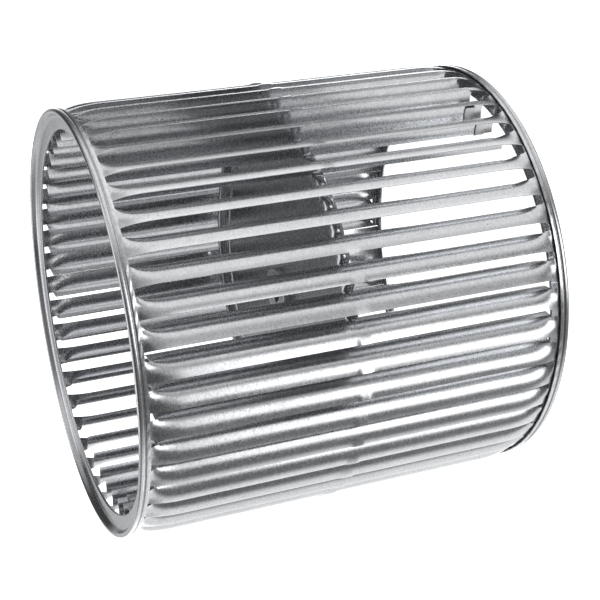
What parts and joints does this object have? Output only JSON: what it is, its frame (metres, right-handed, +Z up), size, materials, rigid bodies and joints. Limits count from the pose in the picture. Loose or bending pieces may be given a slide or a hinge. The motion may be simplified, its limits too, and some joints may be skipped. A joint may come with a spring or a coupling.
{
  "type": "blower wheel",
  "caption": "Double inlet forward curved blower wheel: louvred blades between two rolled end rings, with a centre disc and a bored hub.",
  "frame": {"origin": "centre of the circle that the lower end ring stands on", "axes": "+Z up along the wheel's axis, from the ring that lies lower to the upper ring, on the hub collar's side of the disc; +X at the angle that the blade angles are counted from"},
  "size_m": [0.272, 0.272, 0.272],
  "materials": {
    "strip_steel": "galvanised, fine spangle, satin",
    "ring_steel": "galvanised, roll formed, satin",
    "disc_steel": "galvanised, pressed, satin",
    "hub_steel": "turned and zinc plated",
    "screw_steel": "black oxide",
    "clip_steel": "dull spring steel"
  },
  "bodies": {
    "root": {"blade_strip": "strip_steel", "top_end_ring": "ring_steel", "bottom_end_ring": "ring_steel", "center_disc": "disc_steel", "hub": "hub_steel", "set_screw_1": "screw_steel", "set_screw_2": "screw_steel", "balance_clip_1": "clip_steel", "balance_clip_2": "clip_steel", "balance_clip_3": "clip_steel"}
  },
  "joints": []
}
